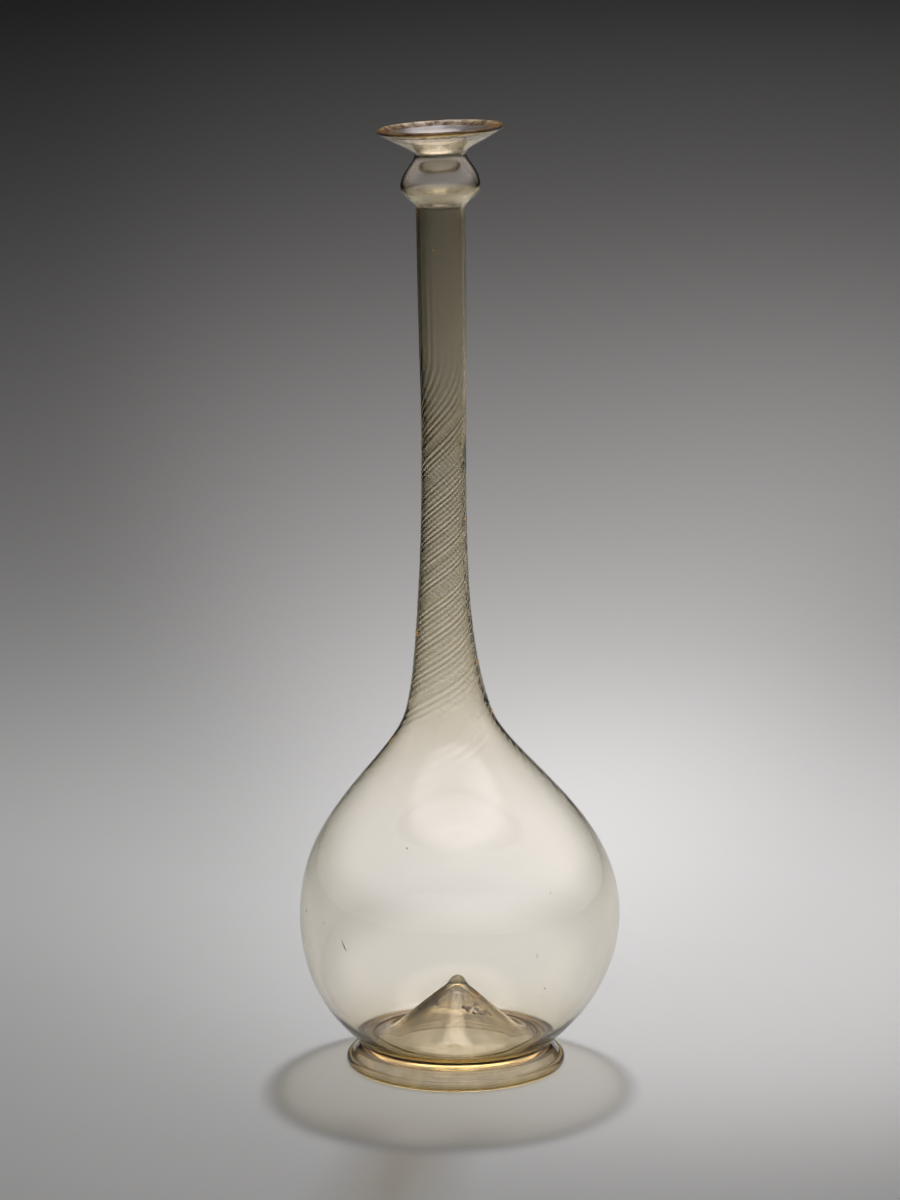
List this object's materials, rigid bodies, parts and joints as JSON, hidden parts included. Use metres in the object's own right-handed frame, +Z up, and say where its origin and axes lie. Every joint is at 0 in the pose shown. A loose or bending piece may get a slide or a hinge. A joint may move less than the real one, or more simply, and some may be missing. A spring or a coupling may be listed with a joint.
{
  "type": "glass bottle",
  "caption": "Blown glass bottle with a round bulb, a long slim twisted-rib neck, a bulge under a funnel mouth, a folded foot and a tall kick.",
  "frame": {"origin": "on the ground under the middle of the bulb, at the bottom centre of the bounding box", "axes": "+Z up along the neck, +X to the right in the picture, -Y towards the camera"},
  "size_m": [0.1156, 0.1156, 0.3424],
  "materials": {
    "glass": "clear, fire-polished blown glass with a pale amber cast, darker where it is thick"
  },
  "bodies": {
    "root": {"glass_bottle": "glass"}
  },
  "joints": []
}
